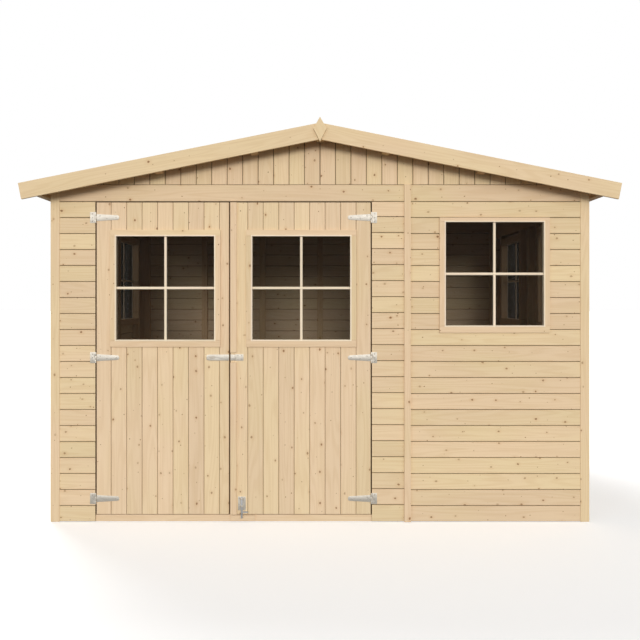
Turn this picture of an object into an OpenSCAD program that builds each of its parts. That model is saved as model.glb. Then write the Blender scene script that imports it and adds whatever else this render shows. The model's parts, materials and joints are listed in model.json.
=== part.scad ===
// Wooden garden shed: double door and a window in the front, two windows in each side,
// low gable roof of boards on purlins. Millimetres, +Z up, front towards -Y,
// origin at the centre of the plan on the ground.

/* [Front panels] */
// Cladding from the left corner to the doorway
left_panel_w = 245; // [180:1:600]
// Width of the left door leaf
left_leaf_w = 731; // [640:1:1100]
// Width of the right door leaf
right_leaf_w = 773; // [680:1:1100]
// Cladding from the doorway to the panel joint
mid_panel_w = 195; // [120:1:600]
// Width of the window panel, joint to right corner
window_panel_w = 1001; // [800:1:1600]

/* [Body] */
// Depth over the front and back cladding
body_d = 2090; // [1700:1:3200]
// Height of the horizontal courses below the header
wall_h = 1762; // [1660:1:2400]
// Height of the header board
header_h = 94; // [80:1:140]
// Thickness of the wall boards
board_t = 16; // [12:1:28]
// Depth of the wall frame timbers
frame_t = 45; // [34:1:70]
// Width of the wall frame timbers
stud_w = 45; // [34:1:60]
// Thickness of the floor boards
floor_t = 16; // [12:1:28]
// Height of the floor bearers
bearer_h = 21; // [15:1:60]

/* [Roof] */
// Rise of the roof for each millimetre of run
roof_slope = 0.2; // [0.12:0.01:0.45]
// Thickness of the roof boards
roof_t = 16; // [12:1:28]
// Overhang past the side walls
eave_out = 132; // [60:1:300]
// Overhang past the front and back walls, over the barge boards
verge_out = 131; // [90:1:300]
// Width of a purlin
purlin_w = 40; // [30:1:70]
// Depth of a purlin
purlin_h = 60; // [40:1:90]
// From the ridge to the first purlin
purlin_in = 372; // [200:1:480]
// Spacing of the purlins
purlin_pitch = 520; // [420:1:560]
// Width of a barge board
barge_w = 88; // [70:1:140]
// Thickness of a barge board
barge_t = 17; // [12:1:28]
// Height of the barge board's edge above the roof boards
barge_lip = 4; // [1:1:10]
// Width of the diamond at the ridge
finial_w = 71; // [50:1:120]
// Height of the diamond at the ridge
finial_h = 132; // [90:1:200]
// How far the diamond stands above the barge boards
finial_up = 28; // [10:1:60]
// Width of the batten under the roof boards at the eaves
eave_batten_w = 30; // [20:1:50]
// Depth of the batten under the roof boards at the eaves
eave_batten_h = 20; // [14:1:40]

/* [Windows] */
// Width of a window opening
window_w = 542; // [440:1:560]
// Height of a window opening
window_h = 572; // [460:1:620]
// Underside of the wall windows above the ground
wall_window_z = 1078; // [950:1:1090]
// Underside of the door windows above the ground
door_window_z = 1000; // [950:1:1090]
// From the right corner to the middle of the front window
front_window_in = 522; // [420:1:700]
// Left door's window, to the right of the middle of its leaf
left_window_shift = 15; // [-20:1:20]
// Right door's window, to the right of the middle of its leaf
right_window_shift = 3.5; // [-20:0.5:20]
// Thickness of the panes
glass_t = 4; // [3:1:6]
// Thickness of the window trim
trim_t = 12; // [8:1:20]
// Width of the window trim at the sides
trim_w = 32; // [24:1:44]
// Width of the trim over the door windows
door_trim_top_w = 34; // [20:1:44]
// Width of the trim over the wall windows
wall_trim_top_w = 23; // [16:1:44]
// Width of the window trim at the bottom
trim_low_w = 38; // [26:1:60]

/* [Doors] */
// Gap round the leaves
door_gap = 6; // [5:1:10]
// Gap between the two leaves
leaf_gap = 7; // [6:1:10]
// Gap over and under the leaves
door_gap_z = 5; // [5:1:8]
// Height of the door sill
sill_h = 37; // [30:1:60]
// How far the sill stands back from the cladding
sill_back = 8; // [4:1:20]
// Length of the block behind the drop bolt
bolt_block_l = 135; // [80:1:200]
// Thickness of the battens behind the door boards
batten_t = 32; // [20:1:40]
// Width of the door's outer battens
stile_w = 60; // [40:1:68]
// Width of the strip on the right leaf's free edge
cover_w = 35; // [25:1:50]

/* [Ironwork] */
// Thickness of the straps and plates
plate_t = 2.5; // [2:0.5:4]
// Length of a hinge strap from the pin
strap_l = 130; // [90:1:200]
// Height of a hinge strap at the pin
strap_h = 39; // [30:1:50]
// Height of a hinge strap at its tip
strap_tip_h = 26; // [16:1:30]
// Height of the hinge's leaf on the wall
leaf_h = 60; // [50:1:90]
// Width of the hinge's leaf on the wall
leaf_w = 31; // [20:1:50]
// Height of the lowest hinge
hinge_low_z = 128; // [100:1:200]
// Height of the middle hinge
hinge_mid_z = 903; // [860:1:920]
// From the header down to the highest hinge
hinge_top_in = 88; // [60:1:110]
// Radius of the hinge knuckle
knuckle_r = 4.5; // [3.5:0.1:4.5]
// Radius of the drop bolt
bolt_r = 5; // [4:0.5:8]
// Length of the drop bolt
bolt_l = 117; // [100:1:200]
// Height of the hasp above the ground
hasp_z = 904; // [860:1:920]

/* [Trim] */
// Width of the corner boards
corner_w = 49; // [30:1:80]
// How far the corner boards stand out from the cladding
corner_out = 4; // [1:1:12]
// Width of the battens over the panel joints
joint_w = 36; // [24:1:60]
// Thickness of the battens over the panel joints
joint_t = 14; // [8:1:24]

/* [Hidden] */
$fn = 48;

// seat: the hairline left between pieces that bear on each other
seat = 0.3;

body_w = left_panel_w + door_gap + left_leaf_w + leaf_gap + right_leaf_w + door_gap
    + mid_panel_w + window_panel_w;
x_r = body_w / 2;
x_l = -x_r;
y_b = body_d / 2;
y_f = -y_b;
x_in = x_r - board_t;
y_in = y_b - board_t;
x_room = x_in - frame_t;
y_room = y_in - frame_t;

// doorway and leaves
door_x0 = x_l + left_panel_w;
left_x0 = door_x0 + door_gap;
left_x1 = left_x0 + left_leaf_w;
right_x0 = left_x1 + leaf_gap;
right_x1 = right_x0 + right_leaf_w;
door_x1 = right_x1 + door_gap;
joint_x = door_x1 + mid_panel_w;
door_z0 = sill_h + door_gap_z;
door_z1 = wall_h - door_gap_z;
left_window_x = (left_x0 + left_x1) / 2 + left_window_shift;
right_window_x = (right_x0 + right_x1) / 2 + right_window_shift;
front_window_x = x_r - front_window_in;
side_window_y = body_d / 4;
batten_y = y_f + board_t;

// roof lines: a depth is measured square to the slope, from the barge boards' top edge
pitch = atan(roof_slope);
header_z1 = wall_h + header_h;
roof_d = barge_lip + roof_t;
under_d = roof_d + seat;
chord_d = under_d + purlin_h + seat;
eave_drop = 5;
ridge_z = header_z1 - eave_drop + roof_slope * x_r + under_d / cos(pitch);
x_eave = x_r + eave_out;
y_verge = y_b + verge_out;
y_roof = y_verge - barge_t;
// purlins stand where the gable's sloping timbers carry them
chord_end = (under_z(0, chord_d) - header_z1 - 1) / roof_slope;
purlin_x = [for (x = [purlin_in : purlin_pitch : chord_end - purlin_w]) x];
ridge_low = ridge_z - (under_d + purlin_h) / cos(pitch);
side_low = wall_h - 1;

// hinges, hasp and bolt
pin_out = 4;
pin_y = y_f - pin_out;
pin_clear = 1;
barrel_h = 20;
left_pin_x = (door_x0 + left_x0) / 2;
right_pin_x = (right_x1 + door_x1) / 2;
hinge_z = [hinge_low_z, hinge_mid_z, wall_h - hinge_top_in];
staple_r = 3;
staple_out = 15;
staple_w = 20;
hasp_h = 33;
hasp_l = 123;
hasp_slot = [34, 10];
hasp_knuckle_r = 4;
hasp_knuckle_in = 26;
hasp_leaf_l = 46;
hasp_leaf_h = 36;
bolt_x = right_x0 + cover_w + 28;
bolt_y = y_f - plate_t - bolt_r - 1;
bolt_z = 21;
bolt_arm_z = 55;
bolt_arm_l = 34;
bolt_plate_w = 42;
bolt_plate_z = [64, 139];
guide_z = [84, 124];
guide_h = 9;
guide_wall = 3;
bolt_clear = 0.4;

function top_z(x) = ridge_z - roof_slope * abs(x);
function under_z(x, d) = top_z(x) - d / cos(pitch);

module block(x0, x1, y0, y1, z0, z1)
    translate([x0, y0, z0]) cube([x1 - x0, y1 - y0, z1 - z0]);

// a shape drawn in X and Z, carried from y0 to y1
module along_y(y0, y1)
    translate([0, y1, 0]) rotate([90, 0, 0]) linear_extrude(y1 - y0) children();

module both_x() { children(); mirror([1, 0, 0]) children(); }
module both_y() { children(); mirror([0, 1, 0]) children(); }

// right half of a band that follows the roof, between two depths, its outer end square to the slope
module roof_band(x0, x1, d0, d1, y0, y1)
    along_y(y0, y1) polygon([
        [x0, under_z(x0, d0)],
        [x1 - d0 * sin(pitch), top_z(x1) - d0 * cos(pitch)],
        [x1 - d1 * sin(pitch), top_z(x1) - d1 * cos(pitch)],
        [x0, under_z(x0, d1)]
    ]);

// cladding slab in the XZ plane with one window opening, as four slabs round it
module slab_round_window(x0, x1, z0, z1, wx, wz, y0, y1) {
    wx0 = wx - window_w / 2;
    wx1 = wx + window_w / 2;
    wz1 = wz + window_h;
    block(x0, x1, y0, y1, z0, wz);
    block(x0, x1, y0, y1, wz1, z1);
    block(x0, wx0, y0, y1, wz + seat, wz1 - seat);
    block(wx1, x1, y0, y1, wz + seat, wz1 - seat);
}

// four boards round an opening, on the face at y = 0, standing out towards -Y
module trim_ring(wx, wz, top_w)
    translate([wx, 0, wz]) {
        half = window_w / 2;
        block(-half - trim_w, half + trim_w, -trim_t, 0, -trim_low_w, 0);
        block(-half - trim_w, half + trim_w, -trim_t, 0, window_h, window_h + top_w);
        for (s = [-1, 1])
            translate([s * (half + trim_w / 2), 0, 0])
                block(-trim_w / 2, trim_w / 2, -trim_t, 0, seat, window_h - seat);
    }

// a pane that fills its opening, set in the middle of the boards behind the face at y = 0
module pane(wx, wz)
    translate([wx, (board_t - glass_t) / 2, wz])
        block(-window_w / 2 + seat, window_w / 2 - seat, 0, glass_t, seat, window_h - seat);

// puts something made for the front face on the outside of each side wall
module on_left(y) translate([x_l, y, 0]) rotate([0, 0, -90]) children();
module on_right(y) translate([x_r, y, 0]) rotate([0, 0, 90]) children();

module floor_boards() color("burlywood")
    block(-x_room + seat, x_room - seat, -y_room + seat, y_room - seat,
          bearer_h + seat, bearer_h + seat + floor_t);

module floor_bearers() color("peru")
    for (i = [-3:3])
        translate([i * (x_room - stud_w) / 3, 0, 0])
            block(-stud_w / 2, stud_w / 2, -y_room + seat, y_room - seat, 0, bearer_h);

// front
module front_wall_left() color("wheat")
    block(x_l + corner_w, door_x0, y_f, y_f + board_t, 0, wall_h);

module front_wall_mid() color("wheat")
    block(door_x1, joint_x, y_f, y_f + board_t, 0, wall_h);

module front_wall_right() color("wheat")
    slab_round_window(joint_x, x_r - corner_w, 0, wall_h, front_window_x, wall_window_z,
                      y_f, y_f + board_t);

module front_header() color("wheat")
    block(x_l + corner_w, x_r - corner_w, y_f, y_f + board_t, wall_h, header_z1);

// gable cladding with notches for the purlins
module gable(y0, y1) {
    edge = min(x_r - corner_w, (under_z(0, under_d) - header_z1 - 1) / roof_slope);
    both_x() difference() {
        along_y(y0, y1) polygon([
            [seat / 2, header_z1 + seat], [edge, header_z1 + seat],
            [edge, under_z(edge, under_d)], [seat / 2, under_z(seat / 2, under_d)]
        ]);
        block(-1, purlin_w / 2 + seat, y0 - 1, y1 + 1, ridge_low - seat, ridge_z);
        for (x = purlin_x)
            purlin_bar(x, seat, y0 - 1, y1 + 1);
    }
}

// one purlin square to the slope, grown all round by a clearance
module purlin_bar(x, grow, y0, y1)
    translate([x, 0, top_z(x)]) rotate([0, pitch, 0])
        block(-purlin_w / 2 - grow, purlin_w / 2 + grow, y0, y1,
              -under_d - purlin_h - grow, -under_d + grow * 10);

module front_gable() color("wheat") gable(y_f, y_f + board_t);
module back_gable() color("wheat") gable(y_in, y_b);

// sloping timbers that carry the purlins at a gable, and the rail under them
module gable_chords(y0, y1) {
    rise_d = stud_w / cos(pitch);
    x_low = max(chord_end - rise_d / roof_slope, purlin_w);
    both_x() along_y(y0, y1) polygon([
        [seat / 2, under_z(seat / 2, chord_d)],
        [chord_end, under_z(chord_end, chord_d)], [chord_end, header_z1 + seat], [x_low, header_z1 + seat],
        [seat / 2, under_z(seat / 2, chord_d) - rise_d]
    ]);
}

// a post of the front or back frame, centred on x
module post(x, z0, z1, y0, y1) block(x - stud_w / 2, x + stud_w / 2, y0, y1, z0 + seat, z1 - seat);

module front_frame() color("burlywood") {
    y0 = y_f + board_t + seat;
    y1 = y0 + frame_t - seat;
    half = stud_w / 2;
    rail_z = wall_h + door_gap_z;
    win_l = front_window_x - window_w / 2;
    win_r = front_window_x + window_w / 2;
    edge = x_room - seat;
    // bottom rails beside the doorway, and the rail over it
    block(-edge, door_x0, y0, y1, 0, stud_w);
    block(door_x1, edge, y0, y1, 0, stud_w);
    block(-edge, edge, y0, y1, rail_z, header_z1);
    for (x = [-edge + half, door_x0 - half, door_x1 + half, joint_x, win_l - half, win_r + half,
              edge - half])
        post(x, stud_w, rail_z, y0, y1);
    // rails over and under the window
    for (z = [wall_window_z - stud_w, wall_window_z + window_h])
        block(win_l + seat, win_r - seat, y0, y1, z, z + stud_w);
    gable_chords(y0, y1);
}

module back_frame() color("burlywood") {
    y0 = y_in - frame_t;
    y1 = y_in - seat;
    half = stud_w / 2;
    rail_z = wall_h + door_gap_z;
    edge = x_room - seat;
    block(-edge, edge, y0, y1, 0, stud_w);
    block(-edge, edge, y0, y1, rail_z, header_z1);
    for (i = [-3:3])
        post(i * (edge - half) / 3, stud_w, rail_z, y0, y1);
    gable_chords(y0, y1);
}

module back_wall() color("wheat")
    block(x_l + corner_w, x_r - corner_w, y_in, y_b, 0, header_z1);

// side walls: slabs round the two windows, the top one cut to the roof
module side_cladding() {
    w = window_w / 2;
    z0 = wall_window_z;
    z1 = z0 + window_h;
    y_end = y_in - seat;
    block(x_in, x_r, -y_end, y_end, 0, z0);
    along_y(-y_end, y_end) polygon([
        [x_in, z1], [x_r, z1], [x_r, under_z(x_r, under_d)], [x_in, under_z(x_in, under_d)]
    ]);
    block(x_in, x_r, -side_window_y + w, side_window_y - w, z0 + seat, z1 - seat);
    both_y() block(x_in, x_r, side_window_y + w, y_end, z0 + seat, z1 - seat);
}

// frame of the right side wall, under the wall plate
module side_frame() {
    x0 = x_room;
    x1 = x_in - seat;
    w = window_w / 2;
    y_end = y_in - seat;
    z_top = side_low - stud_w;
    block(x0, x1, -y_end, y_end, 0, stud_w);
    block(x0, x1, -y_end, y_end, z_top, side_low);
    block(x0, x1, -stud_w / 2, stud_w / 2, stud_w + seat, z_top - seat);
    both_y() {
        for (y = [y_end - stud_w, side_window_y - w - stud_w, side_window_y + w])
            block(x0, x1, y, y + stud_w, stud_w + seat, z_top - seat);
        for (z = [wall_window_z - stud_w, wall_window_z + window_h])
            block(x0, x1, side_window_y - w + seat, side_window_y + w - seat, z, z + stud_w);
    }
}

module right_wall() color("wheat") side_cladding();
module left_wall() color("wheat") mirror([1, 0, 0]) side_cladding();
module right_wall_frame() color("burlywood") side_frame();
module left_wall_frame() color("burlywood") mirror([1, 0, 0]) side_frame();

// plates on the side frames, cut to the roof
module wall_plates() color("burlywood")
    both_x() along_y(-y_in + seat, y_in - seat) polygon([
        [x_room, side_low + seat], [x_in - seat, side_low + seat],
        [x_in - seat, under_z(x_in, under_d)], [x_room, under_z(x_room, under_d)]
    ]);

// corner boards stand a little proud of the cladding, cut to the roof
module corner_boards() color("wheat")
    both_x() both_y() along_y(y_in, y_b + corner_out) polygon([
        [x_r - corner_w, 0], [x_r, 0],
        [x_r, under_z(x_r, under_d)], [x_r - corner_w, under_z(x_r - corner_w, under_d)]
    ]);

// battens over the joints between wall panels
module joint_battens() color("wheat") {
    half = joint_w / 2;
    block(joint_x - half, joint_x + half, y_f - joint_t, y_f, 0, header_z1);
    both_x() block(joint_x - half, joint_x + half, y_b, y_b + joint_t, 0, header_z1);
    both_x() block(x_r, x_r + joint_t, -half, half, 0, header_z1 - stud_w);
}

module door_sill() color("wheat")
    block(door_x0 + seat, door_x1 - seat, y_f + sill_back, y_f + board_t + frame_t, 0, sill_h);

module bolt_block() color("wheat")
    block(right_x0, right_x0 + bolt_block_l, y_f, y_f + sill_back, 8, sill_h - 2);

// doors: boards round the window, with battens behind
module leaf_boards(x0, x1, wx)
    slab_round_window(x0, x1, door_z0, door_z1, wx, door_window_z, y_f, batten_y);

module leaf_battens(x0, x1, wx) {
    y0 = batten_y + seat;
    y1 = batten_y + batten_t;
    wx0 = wx - window_w / 2;
    wx1 = wx + window_w / 2;
    wz1 = door_window_z + window_h;
    s0 = x0 + stile_w;
    s1 = x1 - stile_w;
    for (x = [x0, s1])
        block(x, x + stile_w, y0, y1, door_z0, door_z1);
    for (z = [door_z0, door_window_z - stile_w, wz1, door_z1 - stile_w])
        block(s0 + seat, s1 - seat, y0, y1, z, z + stile_w);
    block(s0 + seat, wx0, y0, y1, door_window_z + seat, wz1 - seat);
    block(wx1, s1 - seat, y0, y1, door_window_z + seat, wz1 - seat);
}

module left_door() color("wheat") leaf_boards(left_x0, left_x1, left_window_x);
module right_door() color("wheat") leaf_boards(right_x0, right_x1, right_window_x);
module left_door_battens() color("burlywood") leaf_battens(left_x0, left_x1, left_window_x);
module right_door_battens() color("burlywood") leaf_battens(right_x0, right_x1, right_window_x);

module left_door_window_trim() color("wheat")
    translate([0, y_f, 0]) trim_ring(left_window_x, door_window_z, door_trim_top_w);
module right_door_window_trim() color("wheat")
    translate([0, y_f, 0]) trim_ring(right_window_x, door_window_z, door_trim_top_w);
module left_door_glass() color("darkslategray")
    translate([0, y_f, 0]) pane(left_window_x, door_window_z);
module right_door_glass() color("darkslategray")
    translate([0, y_f, 0]) pane(right_window_x, door_window_z);

// strip on the right leaf's free edge, in two lengths with the hasp between them
module door_cover_strip() color("wheat") {
    hasp_room = 27;
    for (z = [[door_z0, hasp_z - hasp_room], [hasp_z + hasp_room, door_z1]])
        block(right_x0, right_x0 + cover_w, y_f - trim_t, y_f, z[0], z[1]);
}

module front_window_trim() color("wheat")
    translate([0, y_f, 0]) trim_ring(front_window_x, wall_window_z, wall_trim_top_w);
module front_window_glass() color("darkslategray")
    translate([0, y_f, 0]) pane(front_window_x, wall_window_z);
module side_window_trims() color("wheat")
    for (y = [-side_window_y, side_window_y]) {
        on_left(y) trim_ring(0, wall_window_z, wall_trim_top_w);
        on_right(y) trim_ring(0, wall_window_z, wall_trim_top_w);
    }
module side_window_glass() color("darkslategray")
    for (y = [-side_window_y, side_window_y]) {
        on_left(y) pane(0, wall_window_z);
        on_right(y) pane(0, wall_window_z);
    }

// the wall's half of a hinge, with its pin on the Z axis and its leaf towards -X
module hinge_leaf() {
    barrel = (leaf_h - barrel_h) / 2;
    relief = knuckle_r + pin_clear;
    difference() {
        block(-leaf_w, 0, pin_out - plate_t, pin_out, -leaf_h / 2, leaf_h / 2);
        block(-relief, 1, 0, pin_out + 1, -barrel_h / 2 - 0.5, barrel_h / 2 + 0.5);
    }
    for (s = [-1, 1])
        translate([0, 0, s * (barrel_h / 2 + 0.5 + barrel / 2)])
            cylinder(r = knuckle_r, h = barrel - 1, center = true);
}

// the door's half: a tapered strap with a round tip, towards +X
module hinge_strap() {
    tip = strap_tip_h / 2;
    relief = knuckle_r + pin_clear;
    translate([0, pin_out, 0]) rotate([90, 0, 0]) linear_extrude(plate_t) {
        polygon([
            [relief, -strap_h / 2], [strap_l - tip, -tip],
            [strap_l - tip, tip], [relief, strap_h / 2]
        ]);
        translate([strap_l - tip, 0]) circle(r = tip);
        translate([0, -barrel_h / 2]) square([relief + 1, barrel_h]);
    }
    cylinder(r = knuckle_r, h = barrel_h, center = true);
}

module hinge_leaves() color("silver")
    for (z = hinge_z) {
        translate([left_pin_x, pin_y, z]) hinge_leaf();
        translate([right_pin_x, pin_y, z]) mirror([1, 0, 0]) hinge_leaf();
    }

module left_door_straps() color("silver")
    for (z = hinge_z)
        translate([left_pin_x, pin_y, z]) hinge_strap();

module right_door_straps() color("silver")
    for (z = hinge_z)
        translate([right_pin_x, pin_y, z]) mirror([1, 0, 0]) hinge_strap();

// slotted strap with a round end, over a staple on the left leaf
module hasp_strap() color("silver") {
    x1 = left_x1 - 1;
    y0 = y_f - 2 * plate_t;
    slot_x = x1 - hasp_l + 29;
    tip = hasp_h / 2;
    translate([x1, y0 + plate_t, hasp_z]) rotate([90, 0, 0]) linear_extrude(plate_t)
        difference() {
            union() {
                translate([tip - hasp_l, 0]) circle(r = tip);
                translate([tip - hasp_l, -tip]) square([hasp_l - tip, hasp_h]);
            }
            translate([slot_x - x1, 0]) square(hasp_slot, center = true);
        }
    // plate under the strap, and the staple's two legs and bar
    block(x1 - hasp_l, x1, y_f - plate_t, y_f, hasp_z - tip + 3, hasp_z + tip - 3);
    translate([slot_x, y_f - plate_t, hasp_z]) {
        for (s = [-1, 1])
            translate([s * staple_w / 2, 0, 0]) rotate([90, 0, 0]) cylinder(r = staple_r, h = staple_out);
        translate([0, -staple_out, 0]) rotate([0, 90, 0])
            cylinder(r = staple_r, h = staple_w + 2 * staple_r, center = true);
    }
}

// end of the strap, its knuckle and the leaf that holds it to the right leaf
module hasp_leaf() color("silver") {
    x0 = right_x0 + 1;
    knuckle_x = right_x0 + hasp_knuckle_in;
    y0 = y_f - 2 * plate_t;
    block(x0, knuckle_x, y0, y0 + plate_t, hasp_z - hasp_h / 2, hasp_z + hasp_h / 2);
    translate([knuckle_x, y0, hasp_z]) cylinder(r = hasp_knuckle_r, h = hasp_h, center = true);
    block(knuckle_x, knuckle_x + hasp_leaf_l, y_f - plate_t, y_f,
          hasp_z - hasp_leaf_h / 2, hasp_z + hasp_leaf_h / 2);
}

// plate of the drop bolt with its two guides
module drop_bolt_plate() color("silver") {
    half = bolt_plate_w / 2;
    block(bolt_x - half, bolt_x + half, y_f - plate_t, y_f, bolt_plate_z[0], bolt_plate_z[1]);
    for (z = guide_z)
        difference() {
            guide_r = bolt_r + guide_wall;
            union() {
                block(bolt_x - guide_r, bolt_x + guide_r, bolt_y, y_f - 1, z, z + guide_h);
                translate([bolt_x, bolt_y, z]) cylinder(r = guide_r, h = guide_h);
            }
            translate([bolt_x, bolt_y, z - 1]) cylinder(r = bolt_r + bolt_clear, h = guide_h + 2);
        }
}

// the bolt, with the arm that lifts it
module drop_bolt() color("gray") {
    translate([bolt_x, bolt_y, bolt_z]) cylinder(r = bolt_r, h = bolt_l);
    translate([bolt_x, bolt_y, bolt_arm_z]) rotate([0, 90, 0])
        cylinder(r = bolt_r - 1, h = bolt_arm_l);
}

// roof
module purlins() color("burlywood") {
    y = y_roof - seat;
    half = purlin_w / 2;
    both_x() for (x = purlin_x)
        purlin_bar(x, 0, -y, y);
    along_y(-y, y) polygon([
        [-half, ridge_low], [half, ridge_low], [half, under_z(half, under_d)],
        [0, under_z(0, under_d)], [-half, under_z(half, under_d)]
    ]);
}

module roof_right() color("wheat")
    roof_band(seat / 2, x_eave, barge_lip, roof_d, -y_roof + seat, y_roof - seat);
module roof_left() color("wheat") mirror([1, 0, 0])
    roof_band(seat / 2, x_eave, barge_lip, roof_d, -y_roof + seat, y_roof - seat);

module eave_battens() color("wheat")
    both_x() translate([x_eave, 0, top_z(x_eave)]) rotate([0, pitch, 0])
        block(-eave_batten_w, 0, -y_roof + seat, y_roof - seat, -under_d - eave_batten_h, -under_d);

module barge_boards() color("wheat")
    both_y() both_x() roof_band(seat / 2, x_eave, 0, barge_w, y_roof, y_verge);

module finials() color("wheat") {
    z_top = ridge_z + finial_up;
    z_wide = z_top - finial_h * 0.47;
    both_y() along_y(y_verge, y_verge + barge_t - 1) polygon([
        [0, z_top], [finial_w / 2, z_wide], [0, z_top - finial_h], [-finial_w / 2, z_wide]
    ]);
}

floor_boards();  // floor
floor_bearers();
front_wall_left();
front_wall_mid();
front_wall_right();
front_header();
front_gable();
front_frame();
door_sill();
bolt_block();
left_wall();
left_wall_frame();
right_wall();
right_wall_frame();
back_wall();
back_gable();
back_frame();
corner_boards();
joint_battens();
left_door();
left_door_battens();
left_door_window_trim();
left_door_glass();
right_door();
right_door_battens();
right_door_window_trim();
right_door_glass();
door_cover_strip();
hinge_leaves();
left_door_straps();
right_door_straps();
hasp_strap();
hasp_leaf();
drop_bolt_plate();
drop_bolt();
front_window_trim();
front_window_glass();
side_window_trims();
side_window_glass();
purlins();
wall_plates();
roof_left();
roof_right();
barge_boards();
finials();
eave_battens();
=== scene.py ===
"""Looks of the wooden garden shed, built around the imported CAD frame. Metres, front towards -Y."""
import json
import math
import random

import bmesh
import bpy
from mathutils import Matrix, Vector


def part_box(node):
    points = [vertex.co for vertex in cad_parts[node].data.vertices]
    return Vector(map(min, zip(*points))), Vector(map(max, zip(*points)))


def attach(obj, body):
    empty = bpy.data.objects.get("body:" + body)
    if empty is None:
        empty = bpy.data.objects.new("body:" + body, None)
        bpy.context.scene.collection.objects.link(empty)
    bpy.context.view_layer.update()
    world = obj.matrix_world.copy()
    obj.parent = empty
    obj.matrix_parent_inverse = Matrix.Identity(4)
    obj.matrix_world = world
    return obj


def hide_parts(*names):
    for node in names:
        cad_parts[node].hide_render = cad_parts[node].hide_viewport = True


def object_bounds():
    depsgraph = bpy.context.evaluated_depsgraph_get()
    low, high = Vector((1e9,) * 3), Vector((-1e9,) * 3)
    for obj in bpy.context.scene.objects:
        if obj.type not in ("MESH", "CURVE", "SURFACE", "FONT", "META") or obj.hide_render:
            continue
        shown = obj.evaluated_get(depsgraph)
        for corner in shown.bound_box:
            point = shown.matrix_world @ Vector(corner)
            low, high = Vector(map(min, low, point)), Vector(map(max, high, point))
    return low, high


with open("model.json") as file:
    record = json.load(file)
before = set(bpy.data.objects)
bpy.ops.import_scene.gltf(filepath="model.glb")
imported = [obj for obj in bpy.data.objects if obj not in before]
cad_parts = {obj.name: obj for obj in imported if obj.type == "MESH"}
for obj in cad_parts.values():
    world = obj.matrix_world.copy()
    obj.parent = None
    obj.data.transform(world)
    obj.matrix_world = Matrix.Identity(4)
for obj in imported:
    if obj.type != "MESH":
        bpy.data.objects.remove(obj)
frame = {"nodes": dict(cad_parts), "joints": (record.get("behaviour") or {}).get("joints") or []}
cad_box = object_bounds()

SHELL = "shell"
LEFT = "left_leaf"
RIGHT = "right_leaf"
BOLT = "bolt"

MM = 0.001
COURSES = 20            # horizontal boards between the ground and the header
PITCH_V = 85.2 * MM     # cover of a vertical board
ROOF_PITCH = 88.5 * MM  # cover of a roof board
FLOOR_PITCH = 100 * MM  # cover of a floor board
LEAST_BOARD = 12 * MM   # a narrower strip at an edge joins its neighbour
MID_LIFT = 5 * MM       # how far the middle panel's courses sit above the others
LEFT_FIRST = 81 * MM    # first joint of the left leaf, from its left edge
RIGHT_FIRST = 10 * MM   # first joint of the right leaf, from its left edge
RIDGE_GAP = 0.8 * MM    # from the ridge to the roof boards
GABLE_GAP = 0.5 * MM    # from the middle of a gable to its boards
BOARD_T = 16 * MM       # thickness of wall and roof boards
TRIM_T = 12 * MM        # thickness of the window trim
PLATE_T = 2.5 * MM      # thickness of the straps and plates
LEAF_H = 60 * MM        # height of a hinge's leaf on the wall
IRON_EDGE = 0.5 * MM    # easing of the ironwork's edges
HINGE_MID_Z = 903 * MM  # height of the middle hinges
SEAT = 0.3 * MM         # hairline between pieces that bear on each other


def corners(node):
    lo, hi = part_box(node)
    return Vector(lo), Vector(hi)


# ---------------------------------------------------------------- camera

LENS = 44.4             # focal length in millimetres on a sensor of SENSOR millimetres
SENSOR = 36.0
SHIFT_Y = -0.0312       # the middle of the photo lies a little below the camera's level
CAMERA_OFF = 4.345      # from the front header to the camera
CAMERA_Z = 1.220


def make_camera():
    """A level camera on the shed's middle line, as far off as its perspective says."""
    front = corners("front_header")[0].y
    data = bpy.data.cameras.new("camera")
    data.lens = LENS
    data.sensor_width = SENSOR
    data.shift_y = SHIFT_Y
    cam = bpy.data.objects.new("camera", data)
    cam.location = (0.0, front - CAMERA_OFF, CAMERA_Z)
    cam.rotation_euler = (math.radians(90), 0.0, 0.0)
    bpy.context.scene.collection.objects.link(cam)
    bpy.context.scene.camera = cam


# ---------------------------------------------------------------- node helpers

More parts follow.
